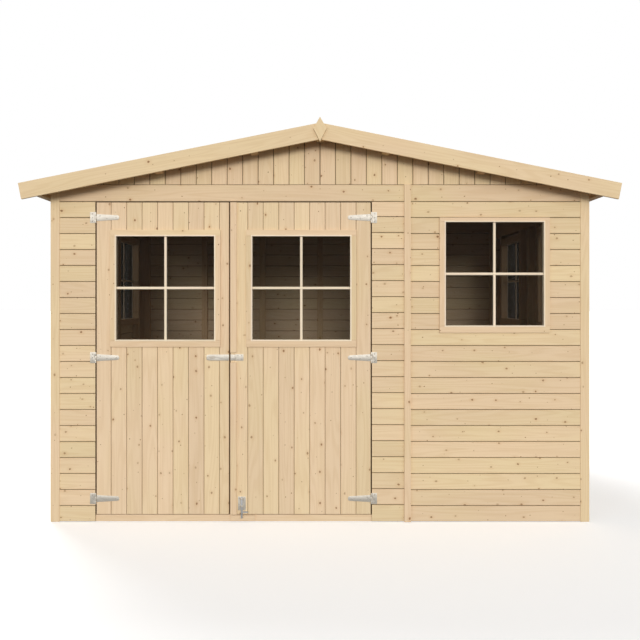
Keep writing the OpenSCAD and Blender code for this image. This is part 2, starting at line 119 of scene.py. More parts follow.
class Nodes:
    """Short calls for a material's node tree."""

    def __init__(self, name):
        self.mat = bpy.data.materials.new(name)
        self.mat.use_nodes = True
        self.tree = self.mat.node_tree
        self.bsdf = self.tree.nodes["Principled BSDF"]

    def link(self, src, dst):
        if isinstance(src, bpy.types.NodeSocket):
            self.tree.links.new(src, dst)
        else:
            dst.default_value = src

    def node(self, kind, **settings):
        n = self.tree.nodes.new(kind)
        for key, value in settings.items():
            setattr(n, key, value)
        return n

    def attribute(self, name):
        return self.node("ShaderNodeAttribute", attribute_name=name).outputs["Vector"]

    def split(self, vector):
        n = self.node("ShaderNodeSeparateXYZ")
        self.link(vector, n.inputs[0])
        return n.outputs

    def join(self, x, y, z):
        n = self.node("ShaderNodeCombineXYZ")
        for value, socket in zip((x, y, z), n.inputs):
            self.link(value, socket)
        return n.outputs[0]

    def shift(self, vector, by):
        n = self.node("ShaderNodeVectorMath", operation="ADD")
        self.link(vector, n.inputs[0])
        n.inputs[1].default_value = (by, by, 0.0)
        return n.outputs[0]

    def math(self, operation, a, b=0.0, c=0.0):
        n = self.node("ShaderNodeMath", operation=operation)
        for value, socket in zip((a, b, c), n.inputs):
            self.link(value, socket)
        return n.outputs[0]

    def ramp(self, value, low, high, out_low=0.0, out_high=1.0, smooth=True):
        n = self.node("ShaderNodeMapRange")
        if smooth:
            n.interpolation_type = "SMOOTHSTEP"
        for value_in, socket in zip((value, low, high, out_low, out_high), n.inputs):
            self.link(value_in, socket)
        return n.outputs[0]

    def noise(self, vector, scale=1.0, detail=2.0, rough=0.5, dims="3D"):
        n = self.node("ShaderNodeTexNoise", noise_dimensions=dims)
        self.link(vector, n.inputs["Vector"])
        n.inputs["Scale"].default_value = scale
        n.inputs["Detail"].default_value = detail
        n.inputs["Roughness"].default_value = rough
        return n.outputs[0]

    def mix(self, factor, a, b, blend="MIX"):
        n = self.node("ShaderNodeMix", data_type="RGBA", blend_type=blend)
        self.link(factor, n.inputs[0])
        for value, socket in ((a, n.inputs[6]), (b, n.inputs[7])):
            if isinstance(value, tuple):
                socket.default_value = (*value, 1.0)
            else:
                self.tree.links.new(value, socket)
        return n.outputs[2]

    def bump(self, height, distance, strength=1.0):
        n = self.node("ShaderNodeBump")
        n.inputs["Distance"].default_value = distance
        n.inputs["Strength"].default_value = strength
        self.link(height, n.inputs["Height"])
        self.tree.links.new(n.outputs[0], self.bsdf.inputs["Normal"])


def linear(r, g, b):
    """Display colour in 0 to 255 to the linear values that a shader takes."""
    out = []
    for c in (r, g, b):
        c /= 255.0
        out.append(c / 12.92 if c <= 0.04045 else ((c + 0.055) / 1.055) ** 2.4)
    return tuple(out)


# ---------------------------------------------------------------- materials

def knot_layer(m, u, v, wobble, cell_size, radii, share, seed):
    """One layer of knots: how deep inside a knot a point is, and its nearness to one.

    cell_size: mean spacing along and across the grain. radii: smallest and largest. All metres."""
    place = m.join(m.math("DIVIDE", u, cell_size[0]), m.math("DIVIDE", v, cell_size[1]), 0.0)
    place = m.shift(place, seed)
    cell = m.node("ShaderNodeTexVoronoi", voronoi_dimensions="2D", feature="F1")
    cell.inputs["Scale"].default_value = 1.0
    m.link(place, cell.inputs["Vector"])
    here = m.split(place)
    centre = m.split(cell.outputs["Position"])
    du = m.math("MULTIPLY", m.math("SUBTRACT", here[0], centre[0]), cell_size[0])
    dv = m.math("MULTIPLY", m.math("SUBTRACT", here[1], centre[1]), cell_size[1])
    away = m.math("SQRT", m.math("ADD", m.math("POWER", m.math("MULTIPLY", du, 0.78), 2.0),
                                 m.math("POWER", dv, 2.0)))
    odds = m.split(cell.outputs["Color"])
    size = m.ramp(odds[0], 0.0, 1.0, *radii, smooth=False)
    ratio = m.math("ADD", m.math("DIVIDE", away, size), m.math("MULTIPLY", wobble, 0.9))
    there = m.math("GREATER_THAN", odds[1], 1.0 - share)
    strength = m.math("MULTIPLY", there, m.ramp(odds[2], 0.0, 1.0, 0.30, 1.0, smooth=False))
    return {"ratio": ratio, "strength": strength, "there": there, "dv": dv}


RING_PACE = 75.0        # how closely the growth rings follow each other
RING_SHARE = 0.13       # how far a ring goes to the dark colour
FINE_SHARE = 0.16       # the same for the fine streaks
JOINT_SHADE_SHARE = 0.80      # how far the inside of a board joint goes to the colour of its painted shade
HALO_SHARE = 0.17       # how far the wood round a large knot goes to its own colour
HALO_COLOUR = (190, 140, 88)
KNOT_COLOUR = (142, 96, 54)
CORE_COLOUR = (84, 52, 30)
# painted shade for the inside of a board joint, standing in for the shadow in the groove
JOINT_SHADE_COLOUR = (78, 50, 22)


def wood(name, yellow, pink, dark, knots=0.75, rough=0.58, grain=1.0):
    """Pine: growth rings and fine streaks along each board, knots, and pin knots between them.

    Attribute "grain" is a place in the wood. "board" holds the board's hue, its brightness,
    and 1 where a point lies inside a joint, where the wood gets a painted shade."""
    m = Nodes(name)
    u, v, w = m.split(m.attribute("grain"))
    tone, shade, inside = m.split(m.attribute("board"))
    wobble = m.noise(m.join(m.math("MULTIPLY", u, 150.0), m.math("MULTIPLY", v, 190.0), 0.0), 1.0, 1.0)
    wobble = m.math("SUBTRACT", wobble, 0.5)
    large = knot_layer(m, u, v, wobble, (0.17, 0.085), (0.0034, 0.0066), knots, 3.0)
    small = knot_layer(m, u, v, wobble, (0.13, 0.06), (0.0016, 0.0034), knots * 0.9, 11.0)

    # the grain bends round a large knot
    near = m.math("MULTIPLY", large["there"], m.ramp(large["ratio"], 4.0, 0.8, 0.0, 1.0))
    bent = m.math("SUBTRACT", v, m.math("MULTIPLY", m.math("MULTIPLY", large["dv"], near), 0.55))
    broad = m.noise(m.join(m.math("MULTIPLY", u, 0.9), m.math("MULTIPLY", bent, 13.0),
                           m.math("MULTIPLY", w, 13.0)), 1.0, 1.5, 0.45)
    rings = m.ramp(m.math("SINE", m.math("MULTIPLY", broad, RING_PACE)), -0.6, 1.0, 0.0, 1.0)
    fine = m.noise(m.join(m.math("MULTIPLY", u, 2.6), m.math("MULTIPLY", bent, 210.0),
                          m.math("MULTIPLY", w, 210.0)), 1.0, 3.0, 0.6)
    patch = m.noise(m.join(m.math("MULTIPLY", u, 2.2), m.math("MULTIPLY", v, 9.0), w), 1.0, 2.0)
    drift = m.noise(m.join(m.math("MULTIPLY", u, 1.6), m.math("MULTIPLY", v, 3.0), 7.0), 1.0, 1.0)

    blush = m.math("ADD", tone, m.math("MULTIPLY", m.math("SUBTRACT", drift, 0.5), 2.4))
    base = m.mix(m.ramp(blush, 0.0, 1.0, 0.0, 1.0), yellow, pink)
    ring_share = m.math("MULTIPLY", rings, RING_SHARE * grain)
    fine_share = m.math("MULTIPLY", m.ramp(fine, 0.42, 0.78, 0.0, 1.0), FINE_SHARE * grain)
    base = m.mix(m.math("ADD", ring_share, fine_share), base, dark)
    value = m.math("ADD", m.ramp(shade, 0.0, 1.0, 0.955, 1.045, smooth=False),
                   m.math("MULTIPLY", m.math("SUBTRACT", patch, 0.5), 0.10))
    base = m.mix(1.0, base, m.join(value, value, value), "MULTIPLY")

    halo = m.math("MULTIPLY", near, m.math("MULTIPLY", large["strength"], HALO_SHARE))
    base = m.mix(halo, base, linear(*HALO_COLOUR))
    for layer in (large, small):
        body = m.math("MULTIPLY", layer["strength"], m.ramp(layer["ratio"], 1.15, 0.6, 0.0, 1.0))
        core = m.math("MULTIPLY", body, m.ramp(layer["ratio"], 0.95, 0.2, 0.0, 1.0))
        base = m.mix(m.math("MULTIPLY", body, 0.80), base, linear(*KNOT_COLOUR))
        base = m.mix(m.math("MULTIPLY", core, 0.45), base, linear(*CORE_COLOUR))
        layer["body"] = body
    # painted shade inside the board joints, in place of the shadow that falls in the groove
    base = m.mix(m.math("MULTIPLY", inside, JOINT_SHADE_SHARE), base, linear(*JOINT_SHADE_COLOUR))
    m.link(base, m.bsdf.inputs["Base Color"])
    m.link(m.ramp(fine, 0.3, 0.8, rough - 0.06, rough + 0.1), m.bsdf.inputs["Roughness"])
    m.bsdf.inputs["Specular IOR Level"].default_value = 0.25
    height = m.math("ADD", m.math("MULTIPLY", fine, 0.7), m.math("MULTIPLY", rings, 0.3))
    m.bump(m.math("SUBTRACT", height, m.math("MULTIPLY", large["body"], 0.6)), 0.0005, 0.5)
    return m.mat


def zinc(name, colour, rough, spangle=0.05):
    """Zinc-plated steel with faint spangles and handling marks."""
    m = Nodes(name)
    coord = m.node("ShaderNodeTexCoord").outputs["Object"]
    cell = m.node("ShaderNodeTexVoronoi")
    cell.inputs["Scale"].default_value = 260.0
    m.link(coord, cell.inputs["Vector"])
    flake = m.split(cell.outputs["Color"])[0]
    marks = m.noise(coord, 90.0, 3.0, 0.65)
    tone = m.ramp(flake, 0.0, 1.0, 1.0 - spangle, 1.0, smooth=False)
    tone = m.math("MULTIPLY", tone, m.ramp(marks, 0.25, 0.7, 0.93, 1.0))
    m.link(m.mix(1.0, colour, m.join(tone, tone, tone), "MULTIPLY"), m.bsdf.inputs["Base Color"])
    m.bsdf.inputs["Metallic"].default_value = 0.85
    m.link(m.ramp(marks, 0.3, 0.7, rough + 0.1, rough - 0.05), m.bsdf.inputs["Roughness"])
    m.bump(marks, 0.0001, 0.2)
    return m.mat


def recess(name):
    """Painted shade of a screw's cross recess: a mottled near-black on the boxes that stand in for its
    hollow.
    """
    m = Nodes(name)
    coord = m.node("ShaderNodeTexCoord").outputs["Object"]
    mottle = m.noise(coord, 400.0, 2.0)
    m.link(m.mix(mottle, (0.02, 0.02, 0.02), (0.09, 0.09, 0.09)), m.bsdf.inputs["Base Color"])
    m.bsdf.inputs["Roughness"].default_value = 0.7
    return m.mat


def glass(name):
    """A clear pane with a faint haze, which hides more of what is behind it at a low angle."""
    m = Nodes(name)
    coord = m.node("ShaderNodeTexCoord").outputs["Object"]
    haze = m.noise(coord, 3.0, 2.0)
    m.link(m.ramp(haze, 0.3, 0.7, 0.02, 0.05), m.bsdf.inputs["Roughness"])
    m.bsdf.inputs["Base Color"].default_value = (0.012, 0.012, 0.010, 1.0)
    m.bsdf.inputs["IOR"].default_value = 1.45
    m.bsdf.inputs["Specular IOR Level"].default_value = 0.06
    angle = m.node("ShaderNodeLayerWeight")
    angle.inputs["Blend"].default_value = 0.5
    m.link(m.ramp(angle.outputs["Facing"], 0.35, 0.85, 0.24, 0.95), m.bsdf.inputs["Alpha"])
    m.mat.surface_render_method = "BLENDED"
    return m.mat


YELLOW = linear(225, 202, 161)
PINK = linear(226, 199, 164)
DARK = linear(193, 156, 106)

MATERIALS = {
    "wall_boards": wood("pine_wall", YELLOW, PINK, DARK),
    "door_boards": wood("pine_door", linear(227, 203, 164), linear(228, 201, 167), DARK),
    "trim": wood("pine_trim", linear(225, 201, 161), linear(226, 198, 164), DARK, knots=0.40),
    "glazing_bead": wood("pine_bead", linear(240, 224, 196), linear(241, 222, 198),
                         linear(214, 188, 150), knots=0.0),
    "frame_timber": wood("pine_frame", linear(216, 188, 144), linear(214, 181, 142),
                         linear(180, 141, 94), rough=0.68, grain=1.6),
    "roof_boards": wood("pine_roof", linear(223, 198, 154), linear(224, 194, 156), DARK, rough=0.62),
    "floor_boards": wood("pine_floor", linear(214, 185, 140), linear(212, 179, 138),
                         linear(178, 137, 90), rough=0.6),
    "zinc": zinc("bright_zinc", (0.78, 0.72, 0.62), 0.32),
    "bolt_steel": zinc("bolt_steel", (0.60, 0.61, 0.62), 0.32, spangle=0.03),
    "pane": glass("window_glass"),
}
RECESS_SHADE = recess("screw_recess_shade")
RECORD_SLOTS = {"glazing_bead": "trim"}     # looks that the record knows by another slot


# ---------------------------------------------------------------- meshes

NOWHERE = (0.0, -1.0)   # a range of depths that holds nothing


class Piece:
    """Collects closed shapes with a grain direction into one mesh."""

    def __init__(self, name, seed):
        self.name = name
        self.rng = random.Random(seed)
        self.verts = []
        self.faces = []
        self.grain = []
        self.board = []

    def new_board(self):
        """Offsets that place a board in the grain pattern, and its two random tones."""
        offset = Vector([self.rng.uniform(0.0, 40.0) for _ in range(3)])
        return offset, tuple(self.rng.random() for _ in range(2))

    def add(self, points, faces, coords, board, depths=NOWHERE):
        """Adds one closed shape. Points with a depth between the two given lie inside a joint and get
        its painted shade.
        """
        start = len(self.verts)
        self.verts += [tuple(p) for p in points]
        self.faces += [tuple(start + i for i in f) for f in faces]
        self.grain += [tuple(c + board[0]) for c in coords]
        # the third value is 1 where the painted joint shade goes
        self.board += [(*board[1], float(depths[0] <= c.z <= depths[1])) for c in coords]

    def build(self, body, slot, replaces=(), smooth=False):
        mesh = bpy.data.meshes.new(self.name)
        mesh.from_pydata(self.verts, [], self.faces)
        for key, values in (("grain", self.grain), ("board", self.board)):
            layer = mesh.attributes.new(key, "FLOAT_VECTOR", "POINT")
            layer.data.foreach_set("vector", [x for value in values for x in value])
        bm = bmesh.new()
        bm.from_mesh(mesh)
        bmesh.ops.recalc_face_normals(bm, faces=bm.faces)
        bm.to_mesh(mesh)
        bm.free()
        if smooth:
            mesh.polygons.foreach_set("use_smooth", [True] * len(mesh.polygons))
            mesh.set_sharp_from_angle(angle=math.radians(32))
        mesh.materials.append(MATERIALS[slot])
        obj = bpy.data.objects.new(self.name, mesh)
        bpy.context.scene.collection.objects.link(obj)
        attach(obj, body)
        RECORD_SLOTS.get(slot, slot)
        if replaces:
            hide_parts(*replaces)
        return obj


CHAMFER = 2.5 * MM      # chamfer beside an open joint between two boards
TONGUE_T = 3.5 * MM     # thickness of a tongue
# half the open joint between two boards, and the depth of the tongue below the face
WIDE_JOINT = (1.6 * MM, 9.0 * MM)
FINE_JOINT = (0.9 * MM, 6.0 * MM)


def board_profile(lo, hi, joint_lo, joint_hi, thick, joint):
    """Section of a tongued board: (across, depth) points, chamfered at the edges that are joints."""
    half, deep = joint
    back = deep + TONGUE_T
    ease = min(CHAMFER, thick - back)
    left = [(lo + half + CHAMFER, 0.0), (lo + half, CHAMFER), (lo + half, deep), (lo, deep),
            (lo, back), (lo + half, back), (lo + half, thick - ease), (lo + half + ease, thick)]
    right = [(lo + hi - a, d) for a, d in left]
    if not joint_lo:
        left = [(lo, 0.0), (lo, thick)]
    if not joint_hi:
        right = [(hi, 0.0), (hi, thick)]
    return left + right[::-1]


def tube_faces(n):
    """Faces of a closed shape between two rings of n points."""
    sides = [(i, (i + 1) % n, n + (i + 1) % n, n + i) for i in range(n)]
    return sides + [tuple(range(n))[::-1], tuple(range(n, 2 * n))]


def prism(piece, origin, axes, profile, low, high, board, depths=NOWHERE):
    """Carries a section along the first axis, between two ends that may slope across it."""
    along, across, out = axes
    points = []
    coords = []
    for end in (low, high):
        for a, d in profile:
            at = end(a)
            points.append(origin + along * at + across * a - out * d)
            coords.append(Vector((at, a, d)))
    piece.add(points, tube_faces(len(profile)), coords, board, depths)


def cladding(piece, origin, axes, span, reach, pitch, first, holes=(), joint=WIDE_JOINT):
    """Boards side by side over a span, cut round rectangular holes.

    span: across, from and to. reach: the two ends along the boards, as numbers or functions.
    holes: (across low, across high, along low, along high)."""
    low, high = [r if callable(r) else (lambda a, r=r: r) for r in reach]
    # depths of the tongue in each joint, where the wood is painted in shade
    inside = (joint[1] - SEAT, joint[1] + TONGUE_T + SEAT)
    edges = [span[0]]
    at = first
    while at < span[1] - LEAST_BOARD:
        if at > span[0] + LEAST_BOARD:
            edges.append(at)
        at += pitch
    edges.append(span[1])
    for lo, hi in zip(edges, edges[1:]):
        board = piece.new_board()
        cuts = sorted({lo, hi, *[c for h in holes for c in h[:2] if lo < c < hi]})
        for a0, a1 in zip(cuts, cuts[1:]):
            profile = board_profile(a0, a1, a0 == lo, a1 == hi, BOARD_T, joint)
            start = low
            for h in sorted([h for h in holes if h[0] < a1 and h[1] > a0], key=lambda h: h[2]):
                prism(piece, origin, axes, profile, start, lambda a, e=h[2]: e, board, inside)
                start = lambda a, e=h[3]: e
            prism(piece, origin, axes, profile, start, high, board, inside)


X = Vector((1.0, 0.0, 0.0))
Y = Vector((0.0, 1.0, 0.0))
Z = Vector((0.0, 0.0, 1.0))


def islands(bm):
    """The separate solids of a mesh, each as a list of faces."""
    seen = set()
    for face in bm.faces:
        if face in seen:
            continue
        group = []
        todo = [face]
        seen.add(face)
        while todo:
            f = todo.pop()
            group.append(f)
            for edge in f.edges:
                for other in edge.link_faces:
                    if other not in seen:
                        seen.add(other)
                        todo.append(other)
        yield group


def dress(name, nodes, body, slot, bevel, seed, smooth=False, segments=2):
    """New pieces in the place of CAD nodes: arrises eased, and grain along each solid's length."""
    piece = Piece(name, seed)
    for node in nodes:
        whole = bmesh.new()
        whole.from_mesh(frame["nodes"][node].data)
        bmesh.ops.remove_doubles(whole, verts=whole.verts, dist=1e-6)
        for group in list(islands(whole)):
            index = {}
            bm = bmesh.new()
            for f in group:
                for v in f.verts:
                    if v not in index:
                        index[v] = bm.verts.new(v.co)
                bm.faces.new([index[v] for v in f.verts])
            bmesh.ops.recalc_face_normals(bm, faces=bm.faces)
            bmesh.ops.dissolve_limit(bm, angle_limit=math.radians(1), verts=bm.verts, edges=bm.edges)
            longest = max(bm.edges, key=lambda e: e.calc_length())
            along = (longest.verts[1].co - longest.verts[0].co).normalized()
            sides = [f for f in bm.faces if abs(f.normal.dot(along)) < 0.5]
            out = max(sides, key=lambda f: f.calc_area()).normal.copy()
            out = (out - along * out.dot(along)).normalized()
            across = out.cross(along)
            sharp = [e for e in bm.edges if e.is_manifold and e.calc_face_angle(0.0) > math.radians(25)]
            bmesh.ops.bevel(bm, geom=sharp, offset=bevel, offset_type="OFFSET", segments=segments,
                            profile=0.6, affect="EDGES", clamp_overlap=True)
            bm.verts.index_update()
            points = [v.co.copy() for v in bm.verts]
            faces = [[v.index for v in f.verts] for f in bm.faces]
            coords = [Vector((p.dot(along), p.dot(across), p.dot(out))) for p in points]
            piece.add(points, faces, coords, piece.new_board())
            bm.free()
        whole.free()
    return piece.build(body, slot, replaces=nodes, smooth=smooth)


def around(lo, hi):
    """The rectangle of an opening (across x, along z or the other way) grown by the seat."""
    return lo - SEAT, hi + SEAT


# ---------------------------------------------------------------- cladding

wall_top = corners("front_wall_left")[1].z
course = wall_top / COURSES


def front_boards(name, node, seed, lift=0.0, pane=None):
    """Horizontal boards of one front panel; lift shifts its courses up."""
    lo, hi = corners(node)
    piece = Piece(name, seed)
    holes = []
    if pane:
        p, q = corners(pane)
        holes = [(*around(p.z, q.z), *around(p.x, q.x))]
    cladding(piece, Vector((0.0, lo.y, 0.0)), (X, Z, -Y), (lo.z, hi.z), (lo.x, hi.x),
             course, course + lift, holes)
    return piece.build(SHELL, "wall_boards", [node])


def back_boards():
    lo, hi = corners("back_wall")
    piece = Piece("back_wall_boards", 21)
    cladding(piece, Vector((0.0, hi.y, 0.0)), (X, Z, Y), (lo.z, hi.z), (lo.x, hi.x), course, course)
    return piece.build(SHELL, "wall_boards", ["back_wall"])


def side_boards(side, seed):
    """Horizontal boards of a side wall, cut round its two windows."""
    node = "right_wall" if side > 0 else "left_wall"
    lo, hi = corners(node)
    g_lo, g_hi = corners("side_window_glass")
    f_lo, f_hi = corners("front_window_glass")
    width = f_hi.x - f_lo.x
    high = around(g_lo.z, g_hi.z)
    holes = [(*high, *around(g_hi.y - width, g_hi.y)), (*high, *around(g_lo.y, g_lo.y + width))]
    piece = Piece(node + "_boards", seed)
    face = hi.x if side > 0 else lo.x
    top = hi.z - (hi.x - lo.x) * math.tan(roof_angle)
    cladding(piece, Vector((face, 0.0, 0.0)), (Y, Z, X * side), (lo.z, top), (lo.y, hi.y),
             course, course, holes)
    return piece.build(SHELL, "wall_boards", [node])


def roof_slope_angle():
    """The roof's slope, from the box of its right half."""
    lo, hi = corners("roof_right")
    angle = 0.2
    for _ in range(4):
        angle = math.atan((hi.z - lo.z - BOARD_T * math.cos(angle)) / hi.x)
    return angle


roof_angle = roof_slope_angle()
roof_peak = corners("roof_right")[1].z
under_peak = roof_peak - (BOARD_T + SEAT) / math.cos(roof_angle)


def gable_boards(node, out, seed):
    """Vertical boards of a gable, outward both ways from the middle, cut to the roof."""
    lo, hi = corners(node)
    face = lo.y if out < 0 else hi.y
    piece = Piece(node + "_boards", seed)

    def roof_line(a):
        return under_peak - abs(a) * math.tan(roof_angle)

    for side in (-1, 1):
        cladding(piece, Vector((0.0, face, 0.0)), (Z, X * side, Y * out),
                 (GABLE_GAP, hi.x), (lo.z, roof_line), PITCH_V, PITCH_V)
    return piece.build(SHELL, "wall_boards", [node])


def header_board():
    lo, hi = corners("front_header")
    piece = Piece("front_header_board", 31)
    cladding(piece, Vector((0.0, lo.y, 0.0)), (X, Z, -Y), (lo.z, hi.z), (lo.x, hi.x), 1.0, hi.z + 1.0)
    return piece.build(SHELL, "wall_boards", ["front_header"])


def door_boards(name, node, pane, body, first, seed):
    """Vertical boards of a door leaf; first is where a joint falls, counted from the leaf's left."""
    lo, hi = corners(node)
    p, q = corners(pane)
    piece = Piece(name, seed)
    holes = [(*around(p.x, q.x), *around(p.z, q.z))]
    cladding(piece, Vector((0.0, lo.y, 0.0)), (Z, X, -Y), (lo.x, hi.x), (lo.z, hi.z),
             PITCH_V, lo.x + first, holes, FINE_JOINT)
    return piece.build(body, "door_boards", [node])


def roof_boards(side, seed):
    """Boards that run down the slope, side by side from the front to the back."""
    node = "roof_right" if side > 0 else "roof_left"
    lo, hi = corners(node)
    along = Vector((side * math.cos(roof_angle), 0.0, -math.sin(roof_angle)))
    out = Vector((side * math.sin(roof_angle), 0.0, math.cos(roof_angle)))
    length = max(abs(lo.x), abs(hi.x)) / math.cos(roof_angle)
    piece = Piece(node + "_boards", seed)
    start = Vector((0.0, 0.0, roof_peak))
    cladding(piece, start, (along, Y, out), (lo.y, hi.y), (RIDGE_GAP, length),
             ROOF_PITCH, lo.y + ROOF_PITCH)
    return piece.build(SHELL, "roof_boards", [node])


def floor_boards():
    lo, hi = corners("floor")
    piece = Piece("floor_boards", 51)
    cladding(piece, Vector((0.0, 0.0, hi.z)), (X, Y, Z), (lo.y, hi.y), (lo.x, hi.x),
             FLOOR_PITCH, lo.y + FLOOR_PITCH)
    return piece.build(SHELL, "floor_boards", ["floor"])


# ---------------------------------------------------------------- windows

BAR_W = 14 * MM         # width of a window bar
BAR_T = 9 * MM          # how far a bar stands off the pane, on each side
LIP_W = 6 * MM          # width of the glazing bead over the trim
LIP_T = 2 * MM          # how far the bead stands out from the trim
BEAD_W = 1.5 * MM       # how far the bead reaches into the opening
BEAD_EASE = 0.8 * MM    # chamfer of the bead
INNER_T = 5.5 * MM      # how far the slim bead inside stands off the pane
INNER_TOP = 1.2 * MM    # width of the slim bead's face
INNER_W = 3 * MM        # width of the slim bead at its foot


def bar(piece, origin, axes, length, width, height):
    """A bar with its two front edges chamfered, centred on its axis."""
    half = width / 2
    edge = width * 0.2
    profile = [(-half, height), (-half, edge), (edge - half, 0.0),
               (half - edge, 0.0), (half, edge), (half, height)]
    prism(piece, origin, axes, profile, lambda a: 0.0, lambda a: length, piece.new_board())


def mitred(piece, centre, axes, size, profile):
    """Four lengths of one section round a rectangle, mitred at its corners.

    centre lies on the face that depths are measured from. A section's points are
    (into the opening, depth), so that a negative first number lies outside the opening."""
    right, up, out = axes
    for turn in range(4):
        along, inward = ((right, up), (up, -right), (-right, -up), (-up, right))[turn]
        length, reach = (size[0], size[1]) if turn % 2 == 0 else (size[1], size[0])
        start = centre - along * length / 2 - inward * reach / 2
        points = []
        coords = []
        for end in (0, 1):
            for a, d in profile:
                at = a if end == 0 else length - a
                points.append(start + along * at + inward * a - out * d)
                coords.append(Vector((at, a, d)))
        piece.add(points, tube_faces(len(profile)), coords, piece.new_board())


def window_parts(piece, centre, right, out, size, thick):
    """Bars on both faces of one pane, a bead over the trim outside and a slim bead inside."""
    w, h = size
    axes = (right, Z, out)
    for side in (1, -1):
        top = centre + out * side * (thick / 2 + BAR_T)
        bar(piece, top - right * w / 2, (right, Z, out * side), w, BAR_W, BAR_T)
        for z0, z1 in ((-h / 2, -BAR_W / 2), (BAR_W / 2, h / 2)):
            bar(piece, top + Z * z0, (Z, right, out * side), z1 - z0, BAR_W, BAR_T)
    face = centre + out * (BOARD_T / 2 + TRIM_T + LIP_T)
    depth = BOARD_T / 2 + TRIM_T + LIP_T - thick / 2
    ease = BEAD_EASE
    mitred(piece, face, axes, size, [
        (-LIP_W, LIP_T), (-LIP_W, ease), (ease - LIP_W, 0.0), (BEAD_W - ease, 0.0), (BEAD_W, ease),
        (BEAD_W, depth), (SEAT, depth), (SEAT, LIP_T)])
    face = centre - out * (thick / 2 + INNER_T)
    mitred(piece, face, (-right, Z, -out), size, [
        (0.0, 0.0), (INNER_TOP, 0.0), (INNER_W, INNER_W), (INNER_W, INNER_T), (0.0, INNER_T)])


def window(name, pane, body, seed):
    lo, hi = corners(pane)
    piece = Piece(name, seed)
    window_parts(piece, (lo + hi) / 2, X, -Y, (hi.x - lo.x, hi.z - lo.z), hi.y - lo.y)
    return piece.build(body, "glazing_bead")


def side_windows():
    g_lo, g_hi = corners("side_window_glass")
    f_lo, f_hi = corners("front_window_glass")
    width = f_hi.x - f_lo.x
    thick = f_hi.y - f_lo.y
    middle = (g_lo.z + g_hi.z) / 2
    piece = Piece("side_window_bars", 71)
    for side in (-1, 1):
        x = (g_hi.x - thick / 2) if side > 0 else (g_lo.x + thick / 2)
        for y in (g_lo.y + width / 2, g_hi.y - width / 2):
            window_parts(piece, Vector((x, y, middle)), Y * side, X * side,
                         (width, g_hi.z - g_lo.z), thick)
    return piece.build(SHELL, "glazing_bead")


# ---------------------------------------------------------------- screws

HEAD = 3.6 * MM         # radius of a screw head
SMALL_HEAD = 2.8 * MM
# places of the screws, from the hinge's pin and the middle of its height
STRAP_SCREWS = ((0.024, 0.009), (0.062, -0.004), (0.112, 0.0))
LEAF_SCREW_X = 0.018
LEAF_SCREW_Z = (-0.020, 0.0, 0.020)
HASP_SCREW_X = (0.010, 0.030)       # from the right edge of the hasp's hinge part
HASP_SCREW_Z = (-0.010, 0.010)      # from the middle of its height
PLATE_SCREW_IN = (0.007, 0.008)     # from the sides and the ends of the bolt's plate


def screw_heads(name, spots, body, radius=HEAD):
    """Domed heads with a cross recess. spots: points on a face that looks towards -Y."""
    bm = bmesh.new()
    dark = set()
    sides = 20
    rings = ((1.0, 0.0), (1.0, 0.12), (0.86, 0.30), (0.55, 0.42), (0.0, 0.47))
    for index, spot in enumerate(spots):
        loops = []
        for share, rise in rings[:-1]:
            loops.append([bm.verts.new(spot + Vector((
                math.cos(2 * math.pi * i / sides) * radius * share, -rise * radius,
                math.sin(2 * math.pi * i / sides) * radius * share))) for i in range(sides)])
        for a, b in zip(loops, loops[1:]):
            for i in range(sides):
                bm.faces.new((a[i], a[(i + 1) % sides], b[(i + 1) % sides], b[i]))
        bm.faces.new(loops[0])
        bm.faces.new(loops[-1])
        turn = Matrix.Rotation(0.7 * index, 4, "Y")
        # two crossed boxes whose faces show through the dome as the recess; they get the painted recess
        # shade
        for quarter in (0.0, math.pi / 2):
            made = bmesh.ops.create_cube(bm, size=1.0)
            size = Matrix.Diagonal((radius * 1.05, radius * 0.16, radius * 0.24, 1.0))
            move = Matrix.Translation(spot + Vector((0.0, -radius * 0.36, 0.0)))
            place = move @ turn @ Matrix.Rotation(quarter, 4, "Y") @ size
            bmesh.ops.transform(bm, matrix=place, verts=made["verts"])
            dark.update(f for v in made["verts"] for f in v.link_faces)
    bmesh.ops.recalc_face_normals(bm, faces=bm.faces)
    for f in bm.faces:
        f.material_index = 1 if f in dark else 0
        f.smooth = f not in dark and len(f.verts) == 4
    mesh = bpy.data.meshes.new(name)
    bm.to_mesh(mesh)
    bm.free()
    mesh.materials.append(MATERIALS["zinc"])
    mesh.materials.append(RECESS_SHADE)
    obj = bpy.data.objects.new(name, mesh)
    bpy.context.scene.collection.objects.link(obj)
    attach(obj, body)
    return obj


# ---------------------------------------------------------------- the shed

def build_cladding():
    front_boards("front_wall_left_boards", "front_wall_left", 11)
    front_boards("front_wall_mid_boards", "front_wall_mid", 12, lift=MID_LIFT)
    front_boards("front_wall_right_boards", "front_wall_right", 13, pane="front_window_glass")
    header_board()
    gable_boards("front_gable", -1, 14)
    gable_boards("back_gable", 1, 15)
    back_boards()
    side_boards(-1, 22)
    side_boards(1, 23)
    door_boards("left_door_boards", "left_door", "left_door_glass", LEFT, LEFT_FIRST, 41)
    door_boards("right_door_boards", "right_door", "right_door_glass", RIGHT, RIGHT_FIRST, 42)
    roof_boards(-1, 61)
    roof_boards(1, 62)
    floor_boards()


